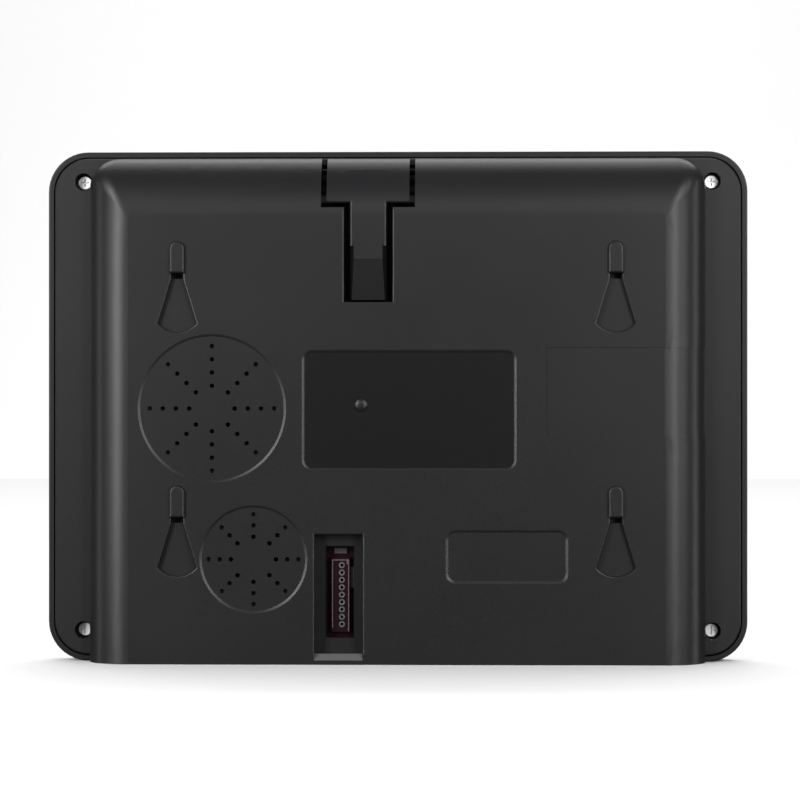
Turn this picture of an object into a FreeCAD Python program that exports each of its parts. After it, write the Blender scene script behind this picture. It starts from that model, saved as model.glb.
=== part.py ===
import FreeCAD, Part
import math
import os
import re
import Sketcher
from FreeCAD import Placement, Rotation, Vector

# Wall-hung digital photo frame.  Sizes in mm.  +Z up, the screen faces -Y, the raised back
# faces +Y, and the origin is the middle of the bottom edge.

doc = FreeCAD.newDocument("PhotoFrame")

SIZES = [
    # housing
    ("frame_width", 238), ("frame_height", 173.5), ("frame_corner", 13.6), ("front_y", -13),
    ("rim_y", -1.8), ("frame_wall", 1.8), ("front_wall", 2.4), ("front_round", 2.2), ("rim_round", 0.5),
    ("cavity_y", -10.6), ("ledge_y", -9.6), ("ledge_reach", 2.4), ("screen_z", 86.7),
    # cover
    ("cover_gap", 0.5), ("cover_wall", 2.2), ("flange_y", -1), ("skirt_y", -5),
    ("skirt_wall", 1.6), ("body_half", 104.7), ("body_rise", 12.7), ("plateau_y", 11.7),
    ("inner_y", 9.5), ("roll_side", 14.4), ("roll_top", 20), ("foot_corner", 12),
    ("plateau_corner", 1.2), ("cover_edge", 0.4), ("tab_round", 0.8), ("stem_round", 0.7),
    # case screws
    ("case_screw_x", 107), ("case_screw_low", 10.5), ("case_screw_high", 163.3),
    ("well_radius", 3), ("post_radius", 4.6), ("case_seat_y", -6.8), ("post_end_y", -7.9),
    ("boss_radius", 3.2), ("boss_floor_y", -11.8), ("thread_radius", 1.25),
    ("case_head_radius", 2.15), ("case_head_height", 1.6), ("case_tip_y", -11.4),
    # chassis screws
    ("lug_x", 97.5), ("lug_low", 30), ("lug_high", 145), ("lug_boss_radius", 3),
    ("lug_tip_y", -9.4),
    # hook pockets
    ("hook_x", 73.7), ("hook_low", 49.4), ("hook_high", 131.5), ("hook_floor_y", 9.7),
    ("hook_neck", 2), ("hook_drop", 16.9), ("hook_half_wide", 6.5), ("hook_mouth", 1.8),
    ("hook_bulge", 2.8), ("hook_wall", 1.2), ("tab_width", 5.2), ("tab_length", 10.9),
    ("tab_y", 13), ("slot_width", 3.9), ("slot_length", 8.6), ("slot_floor_y", 6.4),
    ("rim_ease", 0.3),
    # grilles
    ("main_x", 62), ("main_z", 86.1), ("main_radius", 24.2), ("small_x", 48),
    ("small_z", 35.4), ("small_radius", 17.4), ("grille_hole_radius", 0.78),
    ("grille_depth", 0.3), ("grille_slope", 0.8),
    # label recesses
    ("label_depth", 0.3), ("label_corner", 2.5), ("label_slope", 0.9), ("nub_radius", 2.3),
    ("nub_height", 0.9), ("nub_x", 11.8),
    ("nub_z", 87.3), ("centre_label_left", -39.5), ("centre_label_right", 30.8),
    ("centre_label_low", 66.3), ("centre_label_high", 104.9), ("small_label_left", -56.8),
    ("small_label_right", -17.5), ("small_label_low", 28.2), ("small_label_high", 44.4),
    ("side_label_end", -50.4), ("side_label_low", 76.9), ("side_label_high", 106.6),
    # connector pocket
    ("port_x_min", 11.3), ("port_x_max", 27.5), ("port_z_min", 3.6), ("port_z_max", 43.7),
    ("port_floor_y", 5.7), ("port_lip_z", 1.6), ("window_x_min", 14.5), ("window_x_max", 23.9),
    ("window_z_min", 8.6), ("window_z_max", 39.4), ("pin_pitch", 2.5), ("pin_x", 18.6),
    ("pin_first_z", 13),
    # latch
    ("bar_x_min", -4.4), ("bar_x_max", 23.4), ("bar_z_min", 155.2), ("bar_z_max", 170.7),
    ("stem_x_min", 3.2), ("stem_x_max", 15.6), ("catch_z_max", 141.2), ("catch_z_crest", 136.4),
    ("catch_z_min", 122.6), ("catch_y", 13), ("catch_toe_y", 10.4), ("catch_root_half", 6.25),
    ("catch_tip_half", 4.8), ("latch_gap", 1.9), ("knuckle_width", 4), ("stop_y", 8.1),
    ("stop_root_y", 10.2),
    ("hinge_y", 1.5), ("hinge_z", 166.3), ("hinge_pin_radius", 1), ("hinge_fit", 0.05),
    ("knuckle_radius", 2.1), ("groove_radius", 0.6), ("groove_half_length", 10),
    ("groove_y", 7.7), ("groove_z", 166.1),
    ("spring_wire", 0.2), ("spring_coil", 1.3), ("spring_pitch", 0.55),
    # screen module
    ("lens_width", 184), ("lens_height", 146), ("lens_y", -12.9), ("lens_back_y", -11.2),
    ("lens_corner", 4), ("lens_fit", 0.15), ("tape_y", -10.9), ("window_width", 163.6),
    ("window_height", 123.2), ("lcd_width", 174), ("lcd_height", 136), ("lcd_y", -9.4),
    ("lcd_sheet", 0.4), ("cell_y", -8.9), ("cell_back_y", -7.5), ("sheets_back_y", -6.9),
    ("guide_back_y", -5.4), ("lcd_back_y", -4.9),
    # chassis and board
    ("chassis_y", -4.6), ("chassis_back_y", -3.8), ("chassis_half", 101), ("chassis_low", 17.2),
    ("chassis_high", 160), ("board_y", -1), ("board_back_y", 0.6), ("board_x_min", -66),
    ("board_x_max", 29.5), ("board_z_min", 6), ("board_z_max", 112),
    ("board_screw_radius", 1), ("standoff_radius", 2.2),
    # speakers
    ("gasket_y", 9.2), ("speaker_seat_y", 8), ("clamp_y", 7.2), ("speaker_lead_y", 3.4),
    ("clamp_length", 8.4), ("clamp_width", 5), ("clamp_heel", 3),
    # leads and ribbons
    ("lead_radius", 0.55), ("ribbon_thickness", 0.12), ("tail_left", -9), ("tail_right", 5),
    ("tail_low", 14.4), ("tail_high", 18.1),
]
ALIASES = {name for name, _ in SIZES}

sheet = doc.addObject("Spreadsheet::Sheet", "Dims")
for row, (name, size) in enumerate(SIZES, start=1):
    sheet.set("A%d" % row, name.replace("_", " "))
    sheet.set("B%d" % row, str(size))
    sheet.setAlias("B%d" % row, name)
doc.recompute()

NODES = {}


# ---------------------------------------------------------------- formulas and primitives
def bind(formula):
    """The formula with every size name pointing at the sheet."""
    def point(match):
        word = match.group(0)
        return "Dims." + word if word in ALIASES else word
    return re.sub(r"[a-z][a-z_]+", point, str(formula))


def value(formula):
    return float(sheet.evalExpression(bind(formula)))


def node(obj, label):
    """Name an object as one piece of the assembly."""
    obj.Label = label
    NODES[label] = obj
    return obj


def place(obj, spot, turn=None):
    obj.Placement = Placement(Vector(*[value(s) for s in spot]), turn or Rotation())
    for axis, formula in zip("xyz", spot):
        obj.setExpression("Placement.Base." + axis, bind(formula))


def box(name, across, deep, tall):
    """A box from three (low, high) pairs of formulas along X, Y and Z."""
    obj = doc.addObject("Part::Box", name)
    for side, (low, high) in zip(("Length", "Width", "Height"), (across, deep, tall)):
        obj.setExpression(side, bind("(%s) - (%s)" % (high, low)))
    place(obj, (across[0], deep[0], tall[0]))
    return obj


def rod(name, centre, radius, deep):
    """A cylinder along Y at (x, z), from deep[0] to deep[1]."""
    obj = doc.addObject("Part::Cylinder", name)
    obj.setExpression("Radius", bind(radius))
    obj.setExpression("Height", bind("(%s) - (%s)" % (deep[1], deep[0])))
    place(obj, (centre[0], deep[0], centre[1]), Rotation(Vector(1, 0, 0), -90))
    return obj


def shaft(name, centre, radius, across):
    """A cylinder along X at (y, z), from across[0] to across[1]."""
    obj = doc.addObject("Part::Cylinder", name)
    obj.setExpression("Radius", bind(radius))
    obj.setExpression("Height", bind("(%s) - (%s)" % (across[1], across[0])))
    place(obj, (across[0], centre[0], centre[1]), Rotation(Vector(0, 1, 0), 90))
    return obj


def fuse(name, shapes):
    if len(shapes) == 1:
        return shapes[0]
    obj = doc.addObject("Part::MultiFuse", name)
    obj.Shapes = shapes
    return obj


def cut(name, base, tools):
    obj = doc.addObject("Part::Cut", name)
    obj.Base = base
    obj.Tool = fuse(name + "_tools", tools)
    return obj


def common(name, first, second):
    obj = doc.addObject("Part::Common", name)
    obj.Base = first
    obj.Tool = second
    return obj


def group(name, shapes):
    """Several separate solids kept as one object."""
    obj = doc.addObject("Part::Compound", name)
    obj.Links = shapes
    return obj


def coded(name, shape):
    obj = doc.addObject("Part::Feature", name)
    obj.Shape = shape
    return obj


def rounded(name, base, size, wanted):
    """Base with every edge whose box passes the test rounded over."""
    doc.recompute()
    chosen = [index for index, edge in enumerate(base.Shape.Edges, start=1)
              if wanted(edge.BoundBox)]
    obj = doc.addObject("Part::Fillet", name)
    obj.Base = base
    obj.Edges = [(index, size, size) for index in chosen]
    doc.recompute()
    return obj


# ---------------------------------------------------------------- bodies with sketches
def new_body(label):
    return node(doc.addObject("PartDesign::Body", label), label)


def sketch(body, name, role, offset="0"):
    """A sketch on an origin plane of the body, moved along the plane's normal."""
    drawing = body.newObject("Sketcher::SketchObject", name)
    plane = [f for f in body.Origin.OriginFeatures if f.Role == role][0]
    drawing.AttachmentSupport = (plane, [""])
    drawing.MapMode = "FlatFace"
    drawing.setExpression("AttachmentOffset.Base.z", bind(offset))
    return drawing


def front_sketch(body, name, depth):
    """A sketch seen from the front (X across, Z up) lying at Y = depth."""
    return sketch(body, name, "XZ_Plane", "-(%s)" % depth)


def hold(drawing, kind, geometry, spot, formula):
    """Fix one coordinate of a point to a formula."""
    length = value(formula)
    index = drawing.addConstraint(Sketcher.Constraint(kind, -1, 1, geometry, spot, length))
    drawing.setExpression("Constraints[%d]" % index, bind(formula))


def rectangle(drawing, left, right, low, high, radius):
    """A rectangle with rounded corners, its four sides and its radius set by formulas."""
    x0, x1, z0, z1, r = [value(v) for v in (left, right, low, high, radius)]
    lines = [((x0 + r, z0), (x1 - r, z0)), ((x1, z0 + r), (x1, z1 - r)),
             ((x1 - r, z1), (x0 + r, z1)), ((x0, z1 - r), (x0, z0 + r))]
    centres = [(x1 - r, z0 + r), (x1 - r, z1 - r), (x0 + r, z1 - r), (x0 + r, z0 + r)]
    sides = []
    bends = []
    for start, end in lines:
        sides.append(drawing.addGeometry(Part.LineSegment(Vector(*start, 0), Vector(*end, 0))))
    for quarter, centre in enumerate(centres):
        circle = Part.Circle(Vector(*centre, 0), Vector(0, 0, 1), r)
        start = math.radians(-90 + 90 * quarter)
        arc = Part.ArcOfCircle(circle, start, start + math.pi / 2)
        bends.append(drawing.addGeometry(arc))
    for quarter in range(4):
        after = sides[(quarter + 1) % 4]
        drawing.addConstraint(Sketcher.Constraint("Tangent", sides[quarter], 2, bends[quarter], 1))
        drawing.addConstraint(Sketcher.Constraint("Tangent", bends[quarter], 2, after, 1))
    for index, kind in ((0, "Horizontal"), (1, "Vertical"), (2, "Horizontal"), (3, "Vertical")):
        drawing.addConstraint(Sketcher.Constraint(kind, sides[index]))
    for bend in bends[1:]:
        drawing.addConstraint(Sketcher.Constraint("Equal", bends[0], bend))
    index = drawing.addConstraint(Sketcher.Constraint("Radius", bends[0], r))
    drawing.setExpression("Constraints[%d]" % index, bind(radius))
    hold(drawing, "DistanceX", sides[3], 1, left)
    hold(drawing, "DistanceX", sides[1], 1, right)
    hold(drawing, "DistanceY", sides[0], 1, low)
    hold(drawing, "DistanceY", sides[2], 1, high)


def circle(drawing, across, up, radius):
    spot = Vector(value(across), value(up), 0)
    index = drawing.addGeometry(Part.Circle(spot, Vector(0, 0, 1), value(radius)))
    hold(drawing, "DistanceX", index, 3, across)
    hold(drawing, "DistanceY", index, 3, up)
    size = drawing.addConstraint(Sketcher.Constraint("Radius", index, value(radius)))
    drawing.setExpression("Constraints[%d]" % size, bind(radius))


def polygon(drawing, corners):
    """A closed outline of straight lines through (across, up) formulas."""
    spots = [Vector(value(a), value(u), 0) for a, u in corners]
    lines = []
    for start, end in zip(spots, spots[1:] + spots[:1]):
        lines.append(drawing.addGeometry(Part.LineSegment(start, end)))
    for line, after in zip(lines, lines[1:] + lines[:1]):
        drawing.addConstraint(Sketcher.Constraint("Coincident", line, 2, after, 1))
    for line, (across, up) in zip(lines, corners):
        hold(drawing, "DistanceX", line, 1, across)
        hold(drawing, "DistanceY", line, 1, up)


def grow(body, drawing, length):
    """Add the outline to the body, towards the back."""
    pad = body.newObject("PartDesign::Pad", drawing.Name + "_pad")
    pad.Profile = drawing
    pad.Reversed = True
    pad.setExpression("Length", bind(length))
    doc.recompute()
    return pad


def dig(body, drawing, length):
    """Cut the outline out of the body, towards the back."""
    before = body.Shape.Volume
    pocket = body.newObject("PartDesign::Pocket", drawing.Name + "_pocket")
    pocket.Profile = drawing
    pocket.setExpression("Length", bind(length))
    doc.recompute()
    if body.Shape.Volume >= before:
        raise RuntimeError(drawing.Name + " removes nothing")
    return pocket


def plate(label, half_width, low, high, front, back, corner):
    """A flat piece with rounded corners, centred on X = 0."""
    body = new_body(label)
    drawing = front_sketch(body, label + "_outline", front)
    rectangle(drawing, "-(%s)" % half_width, half_width, low, high, corner)
    grow(body, drawing, "(%s) - (%s)" % (back, front))
    return body


def turned(label, across, up, profile):
    """A body turned about the Y axis at (across, up) from a (radius, y) outline."""
    body = new_body(label)
    drawing = sketch(body, label + "_profile", "XY_Plane")
    polygon(drawing, profile)
    doc.recompute()
    turn = body.newObject("PartDesign::Revolution", label + "_turn")
    turn.Profile = drawing
    turn.ReferenceAxis = (drawing, ["V_Axis"])
    turn.Angle = 360
    place(body, (across, "0", up))
    doc.recompute()
    return body


# ---------------------------------------------------------------- front frame
def spots(across, low, high):
    """The four (x, z) formulas of a symmetric screw pattern."""
    return [(sign + across, level) for sign in ("", "-") for level in (low, high)]


CASE_SPOTS = spots("case_screw_x", "case_screw_low", "case_screw_high")
LUG_SPOTS = spots("lug_x", "lug_low", "lug_high")


def front_frame():
    body = plate("front_frame", "frame_width/2", "0", "frame_height", "front_y", "rim_y",
                 "frame_corner")
    block = body.Tip
    for name, depth, radius in (("frame_front_round", "front_y", "front_round"),
                                ("frame_rim_round", "rim_y", "rim_round")):
        edges = ["Edge%d" % index for index, edge in enumerate(body.Shape.Edges, start=1)
                 if edge.BoundBox.YLength < 0.01
                 and abs(edge.BoundBox.YMax - value(depth)) < 0.01]
        rounding = body.newObject("PartDesign::Fillet", name)
        rounding.Base = (block, edges)
        rounding.setExpression("Radius", bind(radius))
        doc.recompute()
        block = rounding

    cavity = front_sketch(body, "frame_cavity", "cavity_y")
    rectangle(cavity, "frame_wall - frame_width/2", "frame_width/2 - frame_wall", "frame_wall",
              "frame_height - frame_wall", "frame_corner - frame_wall")
    dig(body, cavity, "rim_y - cavity_y")

    ledge = front_sketch(body, "frame_ledge", "cavity_y")
    rectangle(ledge, "-lens_width/2 - ledge_reach", "lens_width/2 + ledge_reach",
              "screen_z - lens_height/2 - ledge_reach",
              "screen_z + lens_height/2 + ledge_reach", "lens_corner")
    grow(body, ledge, "ledge_y - cavity_y")

    seat = front_sketch(body, "frame_lens_seat", "front_y")
    rectangle(seat, "-lens_width/2 - lens_fit", "lens_width/2 + lens_fit",
              "screen_z - lens_height/2 - lens_fit", "screen_z + lens_height/2 + lens_fit",
              "lens_corner + lens_fit")
    dig(body, seat, "tape_y - front_y")

    window = front_sketch(body, "frame_window", "tape_y")
    rectangle(window, "-window_width/2", "window_width/2", "screen_z - window_height/2",
              "screen_z + window_height/2", "1")
    rectangle(window, "tail_left", "tail_right", "tail_low", "tail_high", "0.5")
    dig(body, window, "ledge_y - tape_y")

    bosses = front_sketch(body, "frame_case_bosses", "cavity_y")
    for across, up in CASE_SPOTS:
        circle(bosses, across, up, "boss_radius")
    grow(body, bosses, "post_end_y - cavity_y")

    lugs = front_sketch(body, "frame_chassis_bosses", "cavity_y")
    for across, up in LUG_SPOTS:
        circle(lugs, across, up, "lug_boss_radius")
    grow(body, lugs, "chassis_y - cavity_y")

    holes = front_sketch(body, "frame_boss_holes", "boss_floor_y")
    for across, up in CASE_SPOTS + LUG_SPOTS:
        circle(holes, across, up, "thread_radius + 0.05")
    dig(body, holes, "chassis_y - boss_floor_y")


# ---------------------------------------------------------------- rear cover
ROLL_STEPS = 8


def raised_outline(inset, floor, turn, height):
    """Outline of the raised back: turn goes from 0 at its foot to 90 degrees at the plateau."""
    rolled = 1 - math.cos(math.radians(turn))
    risen = math.sin(math.radians(turn))
    half = value("body_half") - inset - value("roll_side") * rolled
    top = value("frame_height - frame_wall - cover_gap") - inset - value("roll_top") * rolled
    corner = value("foot_corner") - inset
    corner += (value("plateau_corner") - corner) * risen
    y = value("flange_y") + height
    reach = corner * (1 - math.sqrt(0.5))
    points = [Vector(-half, y, floor), Vector(half, y, floor), Vector(half, y, top - corner),
              Vector(half - corner, y, top), Vector(corner - half, y, top),
              Vector(-half, y, top - corner)]
    right = Part.Arc(points[2], Vector(half - reach, y, top - reach), points[3]).toShape()
    left = Part.Arc(points[4], Vector(reach - half, y, top - reach), points[5]).toShape()
    lines = [Part.makeLine(points[0], points[1]), Part.makeLine(points[1], points[2]), right,
             Part.makeLine(points[3], points[4]), left, Part.makeLine(points[5], points[0])]
    return Part.Wire(lines)


def raised_back(name, inset, floor, deeper=0):
    """The rounded back as a solid: its sides and top roll over to a flat plateau."""
    rise = value("body_rise") - inset
    outlines = []
    for step in range(ROLL_STEPS + 1):
        turn = 90 * step / ROLL_STEPS
        height = rise * math.sin(math.radians(turn))
        outlines.append(raised_outline(inset, floor, turn, height))
    shape = Part.makeLoft(outlines, True, False)
    if deeper:
        root = Part.Face(outlines[0]).extrude(Vector(0, -deeper, 0))
        shape = shape.fuse(root)
    return coded(name, shape)


def hook_wire(level, side, grow_by, depth, rise=0):
    """Outline of the fan-shaped pocket below a hook tab, grown outwards, at one depth."""
    x = side * value("hook_x")
    top = value(level)
    neck = top - value("hook_neck")
    foot = top - value("hook_drop")
    narrow = value("slot_width") / 2 + grow_by
    wide = value("hook_half_wide") + grow_by
    rim = [Vector(x - wide, depth, foot), Vector(x - narrow, depth, neck),
           Vector(x - narrow, depth, top + rise), Vector(x + narrow, depth, top + rise),
           Vector(x + narrow, depth, neck), Vector(x + wide, depth, foot)]
    low = Vector(x, depth, foot - value("hook_bulge") - grow_by)
    edges = [Part.makeLine(start, end) for start, end in zip(rim, rim[1:])]
    edges.append(Part.Arc(rim[-1], low, rim[0]).toShape())
    return Part.Wire(edges)


def hook_fan(name, level, side, grow_by, depth):
    """The fan-shaped pocket below a hook tab, as a solid between two depths."""
    y = value(depth[0])
    wire = hook_wire(level, side, grow_by, y, grow_by)
    return coded(name, Part.Face(wire).extrude(Vector(0, value(depth[1]) - y, 0)))


def flare(name, outline, deep="rim_ease", wide="rim_ease", level="plateau_y"):
    """A shallow funnel in a flat face, wide at its rim; outline takes (grow_by, depth)."""
    top = value(level)
    fall = value(deep)
    over = 0.1
    wires = [outline(0, top - fall), outline(value(wide) * (1 + over / fall), top + over)]
    return coded(name, Part.makeLoft(wires, True, True))


def rounded_rim(name, outline, level="plateau_y"):
    """A funnel that rounds a rim over in three flats, steep inside and shallow outside."""
    top = value(level)
    radius = value("rim_round")
    wires = [outline(radius * wide, top - radius * deep) for wide, deep in RIM_STEPS]
    return coded(name, Part.makeLoft(wires, True, True))


# (outward, downward) steps of a rounded rim, in radii, ending just above the face
RIM_STEPS = ((0, 1), (0.13, 0.5), (0.5, 0.13), (1, 0), (1.6, -0.2))


def circle_wire(across, up, radius):
    """A function that gives the circle grown outwards at one depth."""
    def outline(grow_by, depth):
        centre = Vector(across, depth, up)
        return Part.Wire(Part.makeCircle(radius + grow_by, centre, Vector(0, 1, 0)))
    return outline


def rounded_wire(left, right, low, high, corner):
    """A function that gives the round-cornered rectangle grown outwards at one depth."""
    def outline(grow_by, depth):
        radius = corner + grow_by
        edges = []
        middles = [(right - corner, low + corner, -90), (right - corner, high - corner, 0),
                   (left + corner, high - corner, 90), (left + corner, low + corner, 180)]
        ends = []
        for across, up, start in middles:
            turns = [math.radians(start + step) for step in (0, 45, 90)]
            spots = [Vector(across + radius * math.cos(turn), depth, up + radius * math.sin(turn))
                     for turn in turns]
            if ends:
                edges.append(Part.makeLine(ends[-1], spots[0]))
            edges.append(Part.Arc(*spots).toShape())
            ends += [spots[0], spots[-1]]
        edges.append(Part.makeLine(ends[-1], ends[0]))
        return Part.Wire(edges)
    return outline


def rectangle_wire(left, right, low, high):
    """A function that gives the rectangle grown outwards at one depth."""
    def outline(grow_by, depth):
        corners = [Vector(left - grow_by, depth, low), Vector(right + grow_by, depth, low),
                   Vector(right + grow_by, depth, high + grow_by),
                   Vector(left - grow_by, depth, high + grow_by)]
        return Part.makePolygon(corners + corners[:1])
    return outline


def hook_places():
    for side, flank in ((1, "left"), (-1, "right")):
        for level in ("hook_low", "hook_high"):
            yield side, level, flank + "_" + level


def hook_parts():
    """Pocket housings and tabs to add, and pocket and slot spaces to cut."""
    added = []
    removed = []
    for side, level, tag in hook_places():
        x = "%d*hook_x" % side
        added.append(hook_fan(tag + "_housing", level, side, value("hook_wall"),
                              ("hook_floor_y - 1.8", "inner_y + 0.1")))
        throat = "slot_width/2 + hook_wall"
        added.append(box(tag + "_throat", (x + " - (" + throat + ")", x + " + " + throat),
                         ("slot_floor_y - 1.4", "inner_y + 0.1"),
                         (level + " - hook_mouth - hook_wall", level + " + slot_length + hook_wall")))
        added.append(hook_tab(tag + "_tab", x, level))
        removed.append(hook_fan(tag + "_pocket", level, side, 0, ("hook_floor_y", "plateau_y + 1.6")))
        removed.append(rounded_rim(tag + "_rim", lambda grow_by, depth, level=level, side=side:
                                   hook_wire(level, side, grow_by, depth)))
        removed.append(box(tag + "_slot", (x + " - slot_width/2", x + " + slot_width/2"),
                           ("slot_floor_y", "plateau_y - 0.1"),
                           (level + " - hook_mouth", level + " + slot_length")))
    return added, removed


def hook_tab(name, x, level):
    """The raised tongue over a hook slot: square at its lower end, round at its upper end."""
    block = box(name + "_bar", (x + " - tab_width/2", x + " + tab_width/2"),
                ("plateau_y - 0.1", "tab_y"), (level, level + " + tab_length - tab_width/2"))
    end = rod(name + "_end", (x, level + " + tab_length - tab_width/2"), "tab_width/2",
              ("plateau_y - 0.1", "tab_y"))
    tongue = fuse(name + "_tongue", [block, end])
    tongue.Refine = True
    top = value("tab_y")
    return rounded(name, tongue, value("tab_round"), lambda edge: edge.YMin > top - 0.01)


def grille_tools(name, centre, radius, rings):
    """The shallow disc and the rays of holes in front of a speaker."""
    rim = circle_wire(value(centre[0]), value(centre[1]), value(radius))
    tools = [flare(name + "_disc", rim, "grille_depth", "grille_slope")]
    for ray in range(8):
        angle = math.radians(45 * ray)
        for ring, distance in enumerate(rings):
            across = "%s + %.4f" % (centre[0], distance * math.cos(angle))
            up = "%s + %.4f" % (centre[1], distance * math.sin(angle))
            tools.append(rod("%s_hole_%d_%d" % (name, ray, ring), (across, up),
                             "grille_hole_radius", ("inner_y - 1", "plateau_y + 1")))
    return tools


def label_recess(name):
    """A shallow recess with gently sloping sides, for a label."""
    sides = [value(name + side) for side in ("_left", "_right", "_low", "_high")]
    rim = rounded_wire(*sides, value("label_corner"))
    return flare(name, rim, "label_depth", "label_slope")


def port_tools():
    """The connector pocket with its sloping lower wall, and the window in its floor."""
    pocket = box("port_pocket", ("port_x_min", "port_x_max"), ("port_floor_y", "plateau_y + 1"),
                 ("port_z_min", "port_z_max"))
    window = box("port_window", ("window_x_min", "window_x_max"), ("inner_y - 7", "port_floor_y"),
                 ("window_z_min", "window_z_max"))
    low = value("port_z_min")
    top_y = value("plateau_y")
    drop = low - value("port_lip_z")
    corners = [Vector(value("port_x_min"), top_y - drop, low),
               Vector(value("port_x_min"), top_y, value("port_lip_z")),
               Vector(value("port_x_min"), top_y + 1, value("port_lip_z")),
               Vector(value("port_x_min"), top_y + 1, low)]
    face = Part.Face(Part.makePolygon(corners + corners[:1]))
    ramp = coded("port_ramp", face.extrude(Vector(value("port_x_max - port_x_min"), 0, 0)))
    rim = rectangle_wire(value("port_x_min"), value("port_x_max"), value("port_z_min"),
                         value("port_z_max"))
    sill = rectangle_wire(value("window_x_min"), value("window_x_max"), value("window_z_min"),
                          value("window_z_max"))
    return [pocket, window, ramp, rounded_rim("port_rim", rim),
            flare("window_flare", sill, level="port_floor_y")]


SPEAKERS = {
    "main": {"x": "main_x", "z": "main_z", "flange": 24.2, "posts": ((27.2, 150), (27.2, -22))},
    "small": {"x": "small_x", "z": "small_z", "flange": 16.8, "posts": ((19.8, 100), (19.8, -100))},
}


def clamp_spots(kind):
    """(x, z, angle) of the screw posts beside a speaker."""
    speaker = SPEAKERS[kind]
    for distance, degrees in speaker["posts"]:
        turn = math.radians(degrees)
        yield ("%s + %.4f" % (speaker["x"], distance * math.cos(turn)),
               "%s + %.4f" % (speaker["z"], distance * math.sin(turn)), degrees)


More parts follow.
